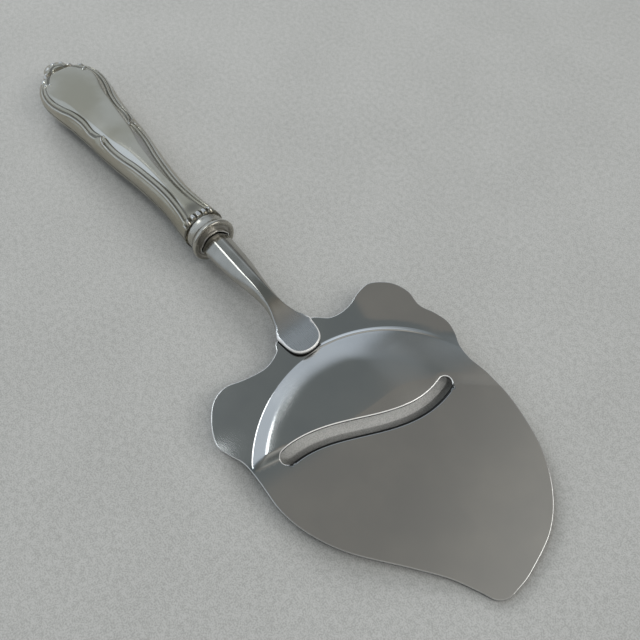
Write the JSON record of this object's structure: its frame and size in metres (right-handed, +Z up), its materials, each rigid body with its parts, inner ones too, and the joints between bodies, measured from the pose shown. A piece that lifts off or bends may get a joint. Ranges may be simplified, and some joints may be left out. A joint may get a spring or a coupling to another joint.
{
  "type": "cheese slicer",
  "caption": "Cheese slicer with a scalloped steel blade, an S-shaped slot behind a raised lip, a slender forged shank and a hollow silver handle with a threaded border.",
  "frame": {"origin": "middle of the footprint, on the surface that the slicer lies on", "axes": "+X from the butt of the handle to the tip of the blade, +Z up through the blade's upper face, +Y to the left of someone who looks along +X"},
  "size_m": [0.217, 0.0683, 0.0151],
  "materials": {
    "blade_steel": "polished stainless steel with faint brush marks",
    "shank_steel": "polished forged stainless steel",
    "upper_silver": "worn silver, soft polish",
    "lower_silver": "worn silver, soft polish",
    "collar_silver": "polished silver",
    "cap_silver": "polished silver, a little dark in the dish",
    "ring_silver": "polished silver",
    "core_cement": "dull cement"
  },
  "bodies": {
    "root": {"blade": "blade_steel", "shank": "shank_steel", "handle_shell_upper": "upper_silver", "handle_shell_lower": "lower_silver", "collar": "collar_silver", "mouth_cap": "cap_silver", "shank_ring": "ring_silver", "handle_core": "core_cement"}
  },
  "joints": []
}
